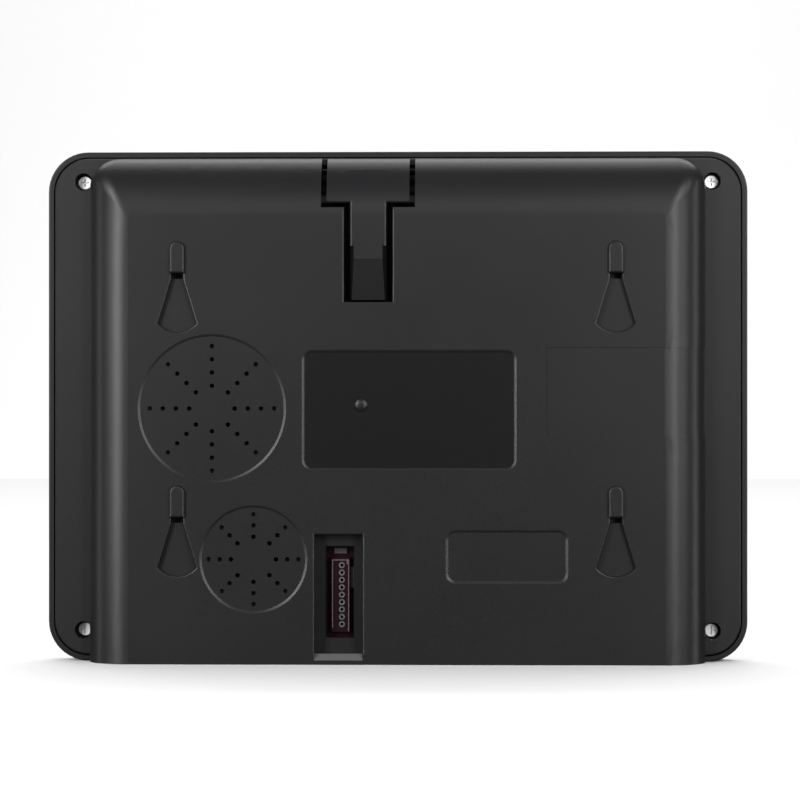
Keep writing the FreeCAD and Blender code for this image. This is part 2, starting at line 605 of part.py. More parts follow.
def rear_cover():
    outer = raised_back("cover_outside", 0, 0)
    inner = raised_back("cover_inside", value("cover_wall"), value("cover_wall"), deeper=2.4)
    edge = "frame_wall + cover_gap"
    flange_body = doc.addObject("PartDesign::Body", "cover_flange")
    flange = front_sketch(flange_body, "flange_outline", "skirt_y")
    rectangle(flange, edge + " - frame_width/2", "frame_width/2 - (" + edge + ")", edge,
              "frame_height - (" + edge + ")", "frame_corner - (" + edge + ")")
    grow(flange_body, flange, "flange_y - skirt_y")
    rim = ["Edge%d" % index for index, edge in enumerate(flange_body.Shape.Edges, start=1)
           if edge.BoundBox.YMin > value("flange_y") - 0.01]
    block = flange_body.Tip
    easing = flange_body.newObject("PartDesign::Chamfer", "flange_edge")
    easing.Base = (block, rim)
    easing.setExpression("Size", "Dims.cover_edge")
    doc.recompute()
    hollow = front_sketch(flange_body, "flange_hollow", "skirt_y")
    inside = edge + " + skirt_wall"
    rectangle(hollow, inside + " - frame_width/2", "frame_width/2 - (" + inside + ")", inside,
              "frame_height - (" + inside + ")", "frame_corner - (" + inside + ")")
    dig(flange_body, hollow, "flange_y - cover_wall - skirt_y")

    lip = box("cover_lip", ("0.3 - body_half", "body_half - 0.3"), ("flange_y - 0.3", "flange_y"),
              ("0.05", "cover_wall"))
    hinge_cheeks = [box("hinge_cheek_%d" % index, across, ("hinge_y - 2.2", "inner_y"),
                        ("hinge_z - 3", "frame_height - frame_wall - cover_gap - 1"))
                    for index, across in enumerate((("bar_x_min - 5", "bar_x_min - 2.2"),
                                                    ("bar_x_max + 2.7", "bar_x_max + 5.4")))]
    cheeks = common("cover_hinge_cheeks", fuse("hinge_cheek_blocks", hinge_cheeks), outer)
    posts = []
    wells = []
    for index, (across, up) in enumerate(CASE_SPOTS):
        posts.append(rod("case_post_%d" % index, (across, up), "post_radius",
                         ("post_end_y", "flange_y")))
        bore = rod("case_well_bore_%d" % index, (across, up), "well_radius",
                   ("case_seat_y", "plateau_y + 1"))
        wells.append(cut("case_well_%d" % index, bore, [coded("cover_over_well_%d" % index,
                                                              outer.Shape)]))
        wells.append(rod("case_hole_%d" % index, (across, up), "thread_radius + 0.3",
                         ("post_end_y - 1", "case_seat_y + 1")))
    for kind in SPEAKERS:
        for index, (across, up, _) in enumerate(clamp_spots(kind)):
            tag = "%s_post_%d" % (kind, index)
            posts.append(rod(tag, (across, up), "2.4", ("speaker_seat_y", "inner_y + 0.1")))
            wells.append(rod(tag + "_hole", (across, up), "0.9", ("speaker_seat_y - 1", "10.6")))
    housings, hook_cuts = hook_parts()
    port_shell = box("port_shell", ("port_x_min - 1.6", "port_x_max + 1.6"),
                     ("port_floor_y - 1.6", "inner_y + 0.1"), ("1.5", "port_z_max + 1.6"))
    nub = doc.addObject("Part::Ellipsoid", "label_nub")
    for side, size in (("Radius1", "nub_radius"), ("Radius2", "nub_radius"),
                       ("Radius3", "nub_height")):
        nub.setExpression(side, bind(size))
    place(nub, ("nub_x", "plateau_y - label_depth", "nub_z"))

    side_step = cut("side_label_step", coded("cover_outside_again", outer.Shape),
                    [raised_back("side_label_bed", value("label_depth"), -1)])
    side_label = common("side_label", side_step,
                        box("side_label_area", ("-body_half - 1", "side_label_end"),
                            ("0", "plateau_y + 1"), ("side_label_low", "side_label_high")))
    recesses = [label_recess("centre_label"), label_recess("small_label"), side_label]
    latch_space = [
        box("latch_bar_space", ("bar_x_min - latch_gap", "bar_x_max + latch_gap"),
            ("flange_y", "plateau_y + 1"), ("bar_z_min - 1.5", "frame_height")),
        box("latch_stem_space", ("stem_x_min - latch_gap", "stem_x_max + latch_gap"),
            ("inner_y - 2", "plateau_y + 1"), ("catch_z_min - 0.8", "bar_z_min"))]
    stem_rim = rectangle_wire(value("stem_x_min - latch_gap"), value("stem_x_max + latch_gap"),
                              value("catch_z_min - 0.8"), value("bar_z_min - 1.8"))
    latch_space.append(rounded_rim("latch_stem_rim", stem_rim))
    pin_hole = shaft("hinge_pin_seat", ("hinge_y", "hinge_z"), "hinge_pin_radius",
                     ("bar_x_min - 4", "bar_x_max + 4.4"))

    raised = fuse("cover_raised", [flange_body, outer])
    skin = cut("cover_skin", fuse("cover_solid", [raised, lip]), [inner])
    built = fuse("cover_built", [skin, cheeks, port_shell] + posts + housings)
    grilles = grille_tools("main_grille", ("main_x", "main_z"), "main_radius",
                           (7.65, 12.1, 16.55, 20.95))
    grilles += grille_tools("small_grille", ("small_x", "small_z"), "small_radius",
                            (7.6, 11.4, 15.1))
    tools = wells + hook_cuts + port_tools() + recesses + latch_space + [pin_hole] + grilles
    opened = cut("cover_opened", built, tools)
    node(fuse("rear_cover", [opened, nub]), "rear_cover")
    return outer


# ---------------------------------------------------------------- screws
def screw(name, centre, seat, tip, shank, head, height):
    """A pan-head cross-recess screw pointing to -Y, its head behind the seat."""
    top = "(%s) + (%s)" % (seat, height)
    body = fuse(name + "_blank", [rod(name + "_head", centre, head, (seat, top)),
                                  rod(name + "_shank", centre, shank, (tip, seat))])
    arm = "(%s)*0.62" % head
    slot = "(%s)*0.14" % head
    deep = (top + " - (%s)*0.6" % height, top + " + 1")
    x, z = centre
    bars = [box(name + "_cross_a", ("%s - %s" % (x, arm), "%s + %s" % (x, arm)), deep,
                ("%s - %s" % (z, slot), "%s + %s" % (z, slot))),
            box(name + "_cross_b", ("%s - %s" % (x, slot), "%s + %s" % (x, slot)), deep,
                ("%s - %s" % (z, arm), "%s + %s" % (z, arm)))]
    return cut(name, body, bars)


def screw_set(label, places, **sizes):
    screws = [screw("%s_%d" % (label, index), centre, **sizes)
              for index, centre in enumerate(places)]
    node(group(label, screws), label)


def all_screws():
    screw_set("case_screws", CASE_SPOTS, seat="case_seat_y", tip="case_tip_y",
              shank="thread_radius", head="case_head_radius", height="case_head_height")
    screw_set("chassis_screws", LUG_SPOTS, seat="chassis_back_y", tip="lug_tip_y",
              shank="thread_radius", head="2.3", height="1.5")
    screw_set("board_screws", BOARD_SPOTS, seat="board_back_y", tip="chassis_back_y + 0.2",
              shank="board_screw_radius", head="1.9", height="1.3")


# ---------------------------------------------------------------- screen module
def ring(label, half, height, front, back, corner, window, window_height):
    """A flat frame: a plate with a rectangular opening about the screen centre."""
    body = plate(label, half, "screen_z - (%s)/2" % height, "screen_z + (%s)/2" % height,
                 front, back, corner)
    opening = front_sketch(body, label + "_opening", front)
    rectangle(opening, "-(%s)/2" % window, "(%s)/2" % window,
              "screen_z - (%s)/2" % window_height, "screen_z + (%s)/2" % window_height, "1")
    dig(body, opening, "(%s) - (%s)" % (back, front))
    return body


def slab(label, half, height, front, back, corner="1"):
    return plate(label, half, "screen_z - (%s)/2" % height, "screen_z + (%s)/2" % height,
                 front, back, corner)


def screen_module():
    slab("touch_lens", "lens_width/2", "lens_height", "lens_y", "lens_back_y", "lens_corner")
    tape = ring("lens_tape", "lens_width/2 - 0.5", "lens_height - 1", "lens_back_y", "tape_y",
                "3", "window_width + 2", "window_height + 2")
    notch = front_sketch(tape, "tape_tail_notch", "lens_back_y")
    rectangle(notch, "tail_left", "tail_right", "tail_low - 0.8",
              "screen_z - window_height/2 - 1", "0.3")
    dig(tape, notch, "tape_y - lens_back_y")

    shell = slab("lcd_steel_frame", "lcd_width/2", "lcd_height", "lcd_y", "lcd_back_y")
    hollow = front_sketch(shell, "lcd_shell_hollow", "lcd_y + lcd_sheet")
    rectangle(hollow, "lcd_sheet - lcd_width/2", "lcd_width/2 - lcd_sheet",
              "screen_z - lcd_height/2 + lcd_sheet", "screen_z + lcd_height/2 - lcd_sheet", "1")
    dig(shell, hollow, "lcd_back_y - lcd_y - lcd_sheet")
    opening = front_sketch(shell, "lcd_shell_window", "lcd_y")
    rectangle(opening, "-window_width/2 - 0.6", "window_width/2 + 0.6",
              "screen_z - window_height/2 - 0.6", "screen_z + window_height/2 + 0.6", "0.5")
    dig(shell, opening, "lcd_sheet")

    slab("lcd_cell", "lcd_width/2 - 1.2", "lcd_height - 3", "cell_y", "cell_back_y")
    slab("optical_sheets", "lcd_width/2 - 1.6", "lcd_height - 5", "cell_back_y + 0.1",
         "sheets_back_y")
    slab("light_guide", "lcd_width/2 - 1.8", "lcd_height - 6", "sheets_back_y + 0.05",
         "guide_back_y")
    tray = slab("backlight_tray", "lcd_width/2 - lcd_sheet - 0.1", "lcd_height - 1.2",
                "sheets_back_y + 0.05", "lcd_back_y")
    tray_hollow = front_sketch(tray, "tray_hollow", "sheets_back_y")
    rectangle(tray_hollow, "0.9 - lcd_width/2", "lcd_width/2 - 0.9",
              "screen_z - lcd_height/2 + 1", "screen_z + lcd_height/2 - 1", "0.5")
    dig(tray, tray_hollow, "guide_back_y + 0.1 - sheets_back_y")

    strip_low = "screen_z - lcd_height/2 + 1.1"
    strip = [box("led_flex", ("-75", "75"), ("sheets_back_y + 0.2", "guide_back_y"),
                 (strip_low, strip_low + " + 0.3"))]
    for index in range(18):
        left = "-72 + %.3f" % (index * 8.3)
        strip.append(box("led_%d" % index, (left, left + " + 3"),
                         ("sheets_back_y + 0.3", "guide_back_y - 0.1"),
                         (strip_low + " + 0.3", strip_low + " + 1.1")))
    node(fuse("led_strip", strip), "led_strip")


# ---------------------------------------------------------------- chassis and main board
BOARD_SPOTS = [("board_x_min + 5", "22"), ("board_x_min + 5", "board_z_max - 5"),
               ("board_x_max - 4.5", "52"), ("board_x_max - 4.5", "board_z_max - 5")]


def chassis():
    body = plate("lcd_chassis", "chassis_half", "chassis_low", "chassis_high", "chassis_y",
                 "chassis_back_y", "3")
    standoffs = front_sketch(body, "chassis_standoffs", "chassis_back_y")
    for across, up in BOARD_SPOTS:
        circle(standoffs, across, up, "standoff_radius")
    grow(body, standoffs, "board_y - chassis_back_y")
    holes = front_sketch(body, "chassis_screw_holes", "chassis_y")
    for across, up in LUG_SPOTS:
        circle(holes, across, up, "thread_radius + 0.25")
    for across, up in BOARD_SPOTS:
        circle(holes, across, up, "board_screw_radius + 0.05")
    dig(body, holes, "board_y - chassis_y")
    openings = front_sketch(body, "chassis_openings", "chassis_y")
    rectangle(openings, "-79", "-70.5", "58", "82", "1")
    for left, right, low, high in ((40, 90, 118, 152), (-90, -40, 118, 152),
                                   (70, 92, 24, 60), (-92, -80, 24, 52)):
        rectangle(openings, str(left), str(right), str(low), str(high), "3")
    dig(body, openings, "chassis_back_y - chassis_y")


def board_part(name, x, z, width, height, rise):
    """A block on the rear face of the main board, centred at (x, z)."""
    return box(name, ("%s - %s" % (x, width / 2), "%s + %s" % (x, width / 2)),
               ("board_back_y", "board_back_y + %s" % rise),
               ("%s - %s" % (z, height / 2), "%s + %s" % (z, height / 2)))


def block_set(label, prefix, rows):
    node(group(label, [board_part("%s_%d" % (prefix, index), *row)
                       for index, row in enumerate(rows)]), label)


def main_board():
    body = new_body("main_board")
    outline = front_sketch(body, "board_outline", "board_y")
    rectangle(outline, "board_x_min", "board_x_max", "board_z_min", "board_z_max", "2")
    grow(body, outline, "board_back_y - board_y")
    holes = front_sketch(body, "board_holes", "board_y")
    for across, up in BOARD_SPOTS:
        circle(holes, across, up, "board_screw_radius + 0.1")
    dig(body, holes, "board_back_y - board_y")

    chip = board_part("processor_chip", -20, 74, 15, 15, 1.4)
    node(chip, "processor_chip")
    block_set("memory_chips", "memory", [(-20, 92.5, 14, 9, 1.1), (-1, 74, 9, 14, 1.1)])
    block_set("power_inductors", "inductor", [(-50, 30, 7.3, 7.3, 3), (-40, 18, 6, 6, 2.8),
                                              (-28, 30, 6, 6, 2.8)])
    cans = []
    for index, (x, z) in enumerate(((-52, 44), (-52, 54), (-40, 44), (10, 96))):
        base = board_part("can_base_%d" % index, x, z, 6.6, 6.6, 0.9)
        can = rod("can_%d" % index, (str(x), str(z)), "3.1", ("board_back_y + 0.9",
                                                            "board_back_y + 5.6"))
        cans.append(fuse("capacitor_%d" % index, [base, can]))
    node(group("capacitors", cans), "capacitors")
    node(board_part("crystal", -34, 62, 5, 3.2, 1), "crystal")
    passives = []
    for column in range(6):
        for row in range(4):
            passives.append((-46 + 4.4 * column, 99.5 + 2.4 * row, 2, 1.25, 0.6))
            passives.append((-30 + 3.4 * column, 46 + 3 * row, 1.6, 0.8, 0.5))
    passives += [(19.1, 37.8, 4.3, 1.9, 0.9), (15.2, 28.8, 1.2, 7, 1)]
    block_set("small_passives", "passive", passives)
    block_set("lcd_connector", "lcd_connector_block", [(-62.6, 70, 5, 20, 2.2)])
    block_set("speaker_headers", "header", [(26.4, 90, 5, 7.4, 3.4), (26.4, 60, 5, 7.4, 3.4)])
    touch = box("touch_connector", ("tail_left + 0.5", "tail_right - 0.5"),
                ("board_y - 1.7", "board_y"), ("20.5", "25"))
    node(touch, "touch_connector")
    harness_socket()


def harness_socket():
    """Nine round wells in one housing, each with a ring contact and a pin through it."""
    pins = range(9)
    housing = box("socket_block", ("pin_x - 2.6", "pin_x + 3.5"),
                  ("board_back_y", "board_back_y + 2.6"),
                  ("pin_first_z - 2.6", "pin_first_z + 8*pin_pitch + 2.6"))
    wells = []
    rings = []
    for index in pins:
        level = "pin_first_z + %d*pin_pitch" % index
        spot = ("pin_x", level)
        wells.append(rod("socket_well_%d" % index, spot, "1.05", ("board_back_y",
                                                                 "board_back_y + 3")))
        barrel = rod("contact_%d" % index, spot, "1.0", ("board_back_y", "board_back_y + 2.8"))
        bore = rod("contact_bore_%d" % index, spot, "0.55", ("board_back_y + 0.6",
                                                            "board_back_y + 3"))
        rings.append(cut("contact_ring_%d" % index, barrel, [bore]))
    node(cut("harness_socket", housing, wells), "harness_socket")
    node(group("harness_contacts", rings), "harness_contacts")


# ---------------------------------------------------------------- speakers
# (radius, y) outlines about each speaker's own axis
SPEAKER_SHAPES = {
    "main": {
        "basket": ((4, 0.3), (14.2, 0.3), (14.2, 1.5), (21, 8), (24.2, 8), (24.2, 9.2),
                   (20.6, 9.2), (20.6, 8.8), (13.2, 2), (4, 2)),
        "magnet": ((0.01, -3), (13.4, -3), (13.4, 0.3), (0.01, 0.3)),
        "cone": ((0.01, 7.1), (3, 6.9), (6.6, 5.2), (15.4, 7.6), (16.6, 8.5), (18.4, 8.75),
                 (20.6, 8.8), (20.6, 9.05), (18.5, 9.15), (16.2, 8.9), (15, 8), (6.6, 5.7),
                 (3.3, 7.3), (0.01, 7.5)),
        "gasket": ((20.6, 9.2), (24.2, 9.2), (24.2, 9.5), (20.6, 9.5)),
        "tag": (-21.5, -15.2, 2.9),
    },
    "small": {
        "basket": ((3, 3.2), (9.4, 3.2), (9.4, 4.2), (13.8, 8), (16.8, 8), (16.8, 9.2),
                   (13.6, 9.2), (13.6, 8.8), (8.6, 4.6), (3, 4.6)),
        "magnet": ((0.01, 1), (8.6, 1), (8.6, 3.2), (0.01, 3.2)),
        "cone": ((0.01, 7.5), (2.4, 7.3), (4.4, 6.4), (10.2, 7.8), (11.2, 8.6), (12.4, 8.75),
                 (13.6, 8.8), (13.6, 9.05), (12.5, 9.15), (10.9, 9), (9.9, 8.2), (4.4, 6.8),
                 (2.6, 7.7), (0.01, 7.9)),
        "gasket": ((13.6, 9.2), (16.8, 9.2), (16.8, 9.5), (13.6, 9.5)),
        "tag": (-16, -8.8, 3.2),
    },
}


def speakers():
    clamps = []
    screws = []
    for kind, shapes in SPEAKER_SHAPES.items():
        x = SPEAKERS[kind]["x"]
        z = SPEAKERS[kind]["z"]
        for piece in ("basket", "magnet", "cone", "gasket"):
            turned("%s_speaker_%s" % (kind, piece), x, z,
                   [(str(r), str(y)) for r, y in shapes[piece]])
        near, far, deep = shapes["tag"]
        tag = box(kind + "_tag", ("%s + %s" % (x, near), "%s + %s" % (x, far)),
                  (str(deep), str(deep + 1)), (z + " - 4.5", z + " + 4.5"))
        basket = NODES.pop(kind + "_speaker_basket")
        basket.Label = kind + "_basket_turned"
        hollow = NODES[kind + "_speaker_magnet"]
        node(cut(kind + "_basket_tagged", fuse(kind + "_basket_tag", [basket, tag]),
                 [hollow]), kind + "_speaker_basket")
        for index, (across, up, degrees) in enumerate(clamp_spots(kind)):
            tag = "%s_clamp_%d" % (kind, index)
            strap = box(tag + "_strap", ("0", "clamp_length"), ("clamp_y", "speaker_seat_y"),
                        ("0", "clamp_width"))
            turn = Rotation(Vector(0, 1, 0), 180 - degrees)
            corner = turn.multVec(Vector(-value("clamp_heel"), 0, -value("clamp_width") / 2))
            place(strap, ("%s + %.4f" % (across, corner.x), "clamp_y",
                          "%s + %.4f" % (up, corner.z)), turn)
            hole = rod(tag + "_hole", (across, up), "1", ("clamp_y - 1", "speaker_seat_y + 1"))
            clamps.append(cut(tag, strap, [hole]))
            screws.append(speaker_screw("%s_speaker_screw_%d" % (kind, index), (across, up)))
    node(group("speaker_clamps", clamps), "speaker_clamps")
    node(group("speaker_screws", screws), "speaker_screws")


def speaker_screw(name, centre):
    """A small screw pointing to +Y into the cover post."""
    blank = fuse(name + "_blank", [rod(name + "_head", centre, "1.9", ("clamp_y - 1.2", "clamp_y")),
                                   rod(name + "_shank", centre, "0.85", ("clamp_y", "10.4"))])
    x, z = centre
    deep = ("clamp_y - 2", "clamp_y - 0.5")
    bars = [box(name + "_cross_a", (x + " - 1.2", x + " + 1.2"), deep, (z + " - 0.28", z + " + 0.28")),
            box(name + "_cross_b", (x + " - 0.28", x + " + 0.28"), deep, (z + " - 1.2", z + " + 1.2"))]
    return cut(name, blank, bars)


# ---------------------------------------------------------------- leads and ribbons
def bent(first, last, level_end):
    """Edges from first to last in one plane: a smooth S, or a quarter turn, leaving along X."""
    span = last - first
    along = Vector(span.x, 0, 0)
    aside = Vector(0, span.y, span.z)
    if not level_end:
        radius = along.Length
        knee = first + along + aside.normalize() * radius
        half = math.sqrt(0.5)
        mid = first + along * half + (knee - first - along) * (1 - half)
        return [Part.Arc(first, mid, knee).toShape(), Part.makeLine(knee, last)]
    run = along.Length / 2
    rise = aside.Length / 2
    radius = (run * run + rise * rise) / (2 * rise)
    turn = math.asin(run / radius) / 2
    along.normalize()
    aside.normalize()
    step = along * radius * math.sin(turn) + aside * radius * (1 - math.cos(turn))
    middle = (first + last) / 2
    return [Part.Arc(first, first + step, middle).toShape(),
            Part.Arc(middle, last - step, last).toShape()]


def swept(name, edges, section):
    path = Part.Wire(edges)
    return coded(name, path.makePipeShell([section], True, False))


def speaker_leads():
    """Two round leads from each header on the board to the tag of its speaker."""
    radius = value("lead_radius")
    across = value("board_x_max") - 0.6
    depth = value("speaker_lead_y")
    main_tag = value("main_x") + SPEAKER_SHAPES["main"]["tag"][0]
    small_top = value("small_z") + 4.5
    runs = {"main": ((90, main_tag, value("main_z")), True), "small": ((60, 0, 0), False)}
    for kind, ((start_z, end_x, end_z), level_end) in runs.items():
        leads = []
        for index, offset in enumerate((-1.6, 1.6)):
            first = Vector(across, depth, start_z + offset)
            last = Vector(end_x, depth, end_z + offset)
            if not level_end:
                last = Vector(34.4 + offset * 0.75, depth, small_top)
            section = Part.Wire(Part.makeCircle(radius, first, Vector(1, 0, 0)))
            leads.append(swept("%s_lead_%d" % (kind, index), bent(first, last, level_end),
                               section))
        node(group(kind + "_speaker_leads", leads), kind + "_speaker_leads")


def ribbons():
    thick = value("ribbon_thickness") / 2
    low, high = 61, 79
    flat_y = value("(lcd_back_y + chassis_y)/2")
    far = Vector(-86, flat_y, low)
    bend = Vector(-78, flat_y, low)
    landing = Vector(-68.8, value("board_back_y + 1.1"), low)
    edges = [Part.makeLine(far, bend)] + bent(bend, landing, True)
    edges.append(Part.makeLine(landing, Vector(-65.1, landing.y, low)))
    section = Part.makePolygon([far + Vector(0, y, z) for y, z in
                                ((-thick, 0), (thick, 0), (thick, high - low),
                                 (-thick, high - low), (-thick, 0))])
    node(swept("lcd_ribbon", edges, section), "lcd_ribbon")

    left = value("tail_left") + 1
    right = value("tail_right") - 1
    y = value("lens_back_y") + thick
    turn_a = 2.6
    turn_b = 3.4
    level = value("tail_high") - 0.7 - turn_a
    landing_y = value("board_y") - 0.9
    half = math.sqrt(0.5)
    top = Vector(left, y, 23)
    knee = Vector(left, y, level + turn_a)
    out = Vector(left, y + turn_a, level)
    foot = Vector(left, landing_y - turn_b, level)
    rise = Vector(left, landing_y, level + turn_b)
    end = Vector(left, landing_y, 20.5)
    bend_a = Vector(left, out.y - turn_a * half, knee.z - turn_a * half)
    bend_b = Vector(left, foot.y + turn_b * half, rise.z - turn_b * half)
    edges = [Part.makeLine(top, knee), Part.Arc(knee, bend_a, out).toShape(),
             Part.makeLine(out, foot), Part.Arc(foot, bend_b, rise).toShape(),
             Part.makeLine(rise, end)]
    section = Part.makePolygon([top + Vector(x, s, 0) for x, s in
                                ((0, -thick), (0, thick), (right - left, thick),
                                 (right - left, -thick), (0, -thick))])
    node(swept("touch_ribbon", edges, section), "touch_ribbon")


# ---------------------------------------------------------------- release latch
def catch_wedge():
    """The drafted block at the foot of the stem, with its ramp falling away downwards."""
    middle = value("(stem_x_min + stem_x_max)/2")
    low = value("catch_z_min")
    high = value("catch_z_max")
    outlines = []
    for depth, half in ((value("inner_y") - 1.5, value("catch_root_half")),
                        (value("catch_y"), value("catch_tip_half"))):
        corners = [Vector(middle - half, depth, low), Vector(middle + half, depth, low),
                   Vector(middle + half, depth, high), Vector(middle - half, depth, high)]
        outlines.append(Part.makePolygon(corners + corners[:1]))
    block = coded("catch_block", Part.makeLoft(outlines, True, True))
    crest = value("catch_z_crest")
    peak = value("catch_y")
    width = value("stem_x_max - stem_x_min") + 6
    side = middle - width / 2
    above = [Vector(side, peak, crest), Vector(side, value("catch_toe_y"), low),
             Vector(side, value("catch_toe_y"), low - 1), Vector(side, peak + 1, low - 1),
             Vector(side, peak + 1, crest)]
    face = Part.Face(Part.makePolygon(above + above[:1]))
    return cut("catch_wedge", block, [coded("catch_ramp", face.extrude(Vector(width, 0, 0)))])


def on_latch_rim(edge):
    """True for the outer side edges of the stem and the lower outer edges of the bar."""
    plateau = value("plateau_y")
    flat = edge.YMin > plateau - 0.6
    stem_side = flat and edge.XLength < 0.01 and edge.ZMax < value("bar_z_min") + 0.1
    bar_foot = flat and edge.ZLength < 0.01 and abs(edge.ZMin - value("bar_z_min")) < 0.01
    return stem_side or bar_foot


def release_latch(outer):
    inside = raised_back("latch_inside", value("cover_wall"), -2)
    bar = box("latch_bar", ("bar_x_min", "bar_x_max"), ("flange_y + 0.4", "plateau_y + 1"),
              ("bar_z_min", "bar_z_max"))
    stem = box("latch_stem", ("stem_x_min", "stem_x_max"), ("inner_y - 1", "plateau_y + 1"),
               ("catch_z_max - 0.5", "bar_z_min + 2"))
    skin = cut("latch_skin", coded("latch_outside", outer.Shape), [inside])
    plate_blank = common("latch_plate", skin, fuse("latch_outline", [bar, stem]))
    shape = rounded("latch_plate_eased", plate_blank, value("stem_round"), on_latch_rim)

    webs = []
    for index, across in enumerate((("bar_x_min + 1", "bar_x_min + 1 + knuckle_width"),
                                    ("bar_x_max - 1 - knuckle_width", "bar_x_max - 1"))):
        webs.append(shaft("knuckle_%d" % index, ("hinge_y", "hinge_z"), "knuckle_radius", across))
        webs.append(box("knuckle_web_%d" % index, across, ("hinge_y", "plateau_y"),
                        ("hinge_z - knuckle_radius", "hinge_z + knuckle_radius")))
    arms = common("latch_arms", fuse("latch_webs", webs), raised_back("latch_core", 0.8, -2))
    stops = []
    for index, (across, root) in enumerate(
            ((("bar_x_min - 3", "bar_x_min + 2"), ("bar_x_min + 0.3", "bar_x_min + 2")),
             (("bar_x_max - 2", "bar_x_max + 3.5"), ("bar_x_max - 2", "bar_x_max - 0.3")))):
        stops.append(box("stop_%d" % index, across, ("stop_y - 1.5", "stop_y"),
                         ("bar_z_min + 0.4", "bar_z_min + 2.6")))
        stops.append(box("stop_root_%d" % index, root, ("stop_y - 1.5", "stop_root_y"),
                         ("bar_z_min + 0.4", "bar_z_min + 2.6")))
    groove = doc.addObject("Part::Ellipsoid", "thumb_groove")
    for side, size in (("Radius1", "groove_radius"), ("Radius2", "groove_half_length"),
                       ("Radius3", "groove_radius")):
        groove.setExpression(side, bind(size))
    place(groove, ("(bar_x_min + bar_x_max)/2", "groove_y", "groove_z"))
    ribs = [box("stem_rib_%d" % index, (left, left + " + 1.4"), ("inner_y - 1.6", "inner_y + 0.1"),
                ("catch_z_max - 0.5", "bar_z_min + 0.5"))
            for index, left in enumerate(("stem_x_min", "stem_x_max - 1.4"))]
    built = fuse("latch_built", [shape, catch_wedge(), arms] + stops + ribs)
    bore = shaft("latch_bore", ("hinge_y", "hinge_z"), "hinge_pin_radius + hinge_fit",
                 ("bar_x_min - 1", "bar_x_max + 1"))
    node(cut("latch_cut", built, [bore, groove]), "release_latch")
    node(shaft("hinge_pin", ("hinge_y", "hinge_z"), "hinge_pin_radius",
               ("bar_x_min - 4", "bar_x_max + 4.4")), "latch_pin")


def latch_spring():
    """A torsion spring on the pin: six coils, one arm on the latch and one on the cover side."""
    wire_radius = value("spring_wire")
    coil = value("spring_coil")
    pitch = value("spring_pitch")
    turns = 6
    start = value("(bar_x_min + bar_x_max)/2") - pitch * turns / 2
    centre = Vector(start, value("hinge_y"), value("hinge_z"))
    helix = Part.makeHelix(pitch, pitch * turns, coil)
    helix.rotate(Vector(0, 0, 0), Vector(0, 1, 0), 90)
    helix.translate(centre)
    section = Part.Wire(Part.makeCircle(wire_radius, centre + Vector(0, 0, -coil),
                                        Vector(0, 1, 0)))
    coils = Part.Wire(helix.Edges).makePipeShell([section], True, True)
    arm_a = Part.makeCylinder(wire_radius, 13, centre + Vector(0, 0, -coil), Vector(0, 0.62, -1))
    arm_b = Part.makeCylinder(wire_radius, 6, centre + Vector(pitch * turns, 0, -coil),
                              Vector(0, -0.75, -0.6))
    node(coded("latch_spring", coils.fuse([arm_a, arm_b])), "latch_spring")


# ---------------------------------------------------------------- build and export
def check(label, obj):
    if "Invalid" in obj.State or "Error" in obj.State:
        raise RuntimeError("%s did not compute" % label)
    if obj.Shape.isNull() or not obj.Shape.isValid():
        raise RuntimeError("%s has no valid shape" % label)


front_frame()
cover_outside = rear_cover()
doc.recompute()
all_screws()
screen_module()
chassis()
main_board()
speakers()
speaker_leads()
ribbons()
release_latch(cover_outside)
latch_spring()
doc.recompute()

os.makedirs("parts", exist_ok=True)
for label, obj in NODES.items():
    check(label, obj)
    obj.Shape.exportStep("parts/%s.step" % label)
    size = obj.Shape.BoundBox
    print("%-24s solids %2d  volume %8.0f  X %.1f..%.1f  Y %.1f..%.1f  Z %.1f..%.1f"
          % (label, len(obj.Shape.Solids), obj.Shape.Volume, size.XMin, size.XMax, size.YMin,
             size.YMax, size.ZMin, size.ZMax))
print(len(NODES), "pieces")
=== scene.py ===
import math

import bpy
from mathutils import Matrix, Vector


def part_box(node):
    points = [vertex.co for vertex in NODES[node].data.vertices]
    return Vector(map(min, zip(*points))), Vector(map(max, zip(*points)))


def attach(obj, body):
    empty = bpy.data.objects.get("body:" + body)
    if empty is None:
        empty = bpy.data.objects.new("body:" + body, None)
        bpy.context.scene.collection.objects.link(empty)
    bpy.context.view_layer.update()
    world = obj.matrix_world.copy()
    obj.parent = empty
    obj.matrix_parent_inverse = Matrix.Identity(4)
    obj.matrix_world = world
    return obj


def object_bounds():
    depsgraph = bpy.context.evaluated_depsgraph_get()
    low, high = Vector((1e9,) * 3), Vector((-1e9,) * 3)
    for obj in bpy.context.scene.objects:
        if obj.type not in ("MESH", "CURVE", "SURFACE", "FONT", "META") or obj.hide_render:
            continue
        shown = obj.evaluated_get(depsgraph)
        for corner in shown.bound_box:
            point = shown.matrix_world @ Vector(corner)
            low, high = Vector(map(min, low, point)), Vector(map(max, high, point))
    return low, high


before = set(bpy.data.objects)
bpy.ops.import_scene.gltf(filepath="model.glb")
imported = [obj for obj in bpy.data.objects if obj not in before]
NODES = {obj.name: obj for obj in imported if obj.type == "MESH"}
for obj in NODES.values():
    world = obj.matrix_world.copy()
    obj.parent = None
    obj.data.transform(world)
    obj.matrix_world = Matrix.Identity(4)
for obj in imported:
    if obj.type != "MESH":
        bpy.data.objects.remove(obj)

CAD_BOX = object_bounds()
MM = 0.001
FLOOR_BOUNCE = False    # the floor doesn't light the back, which darkens towards its foot


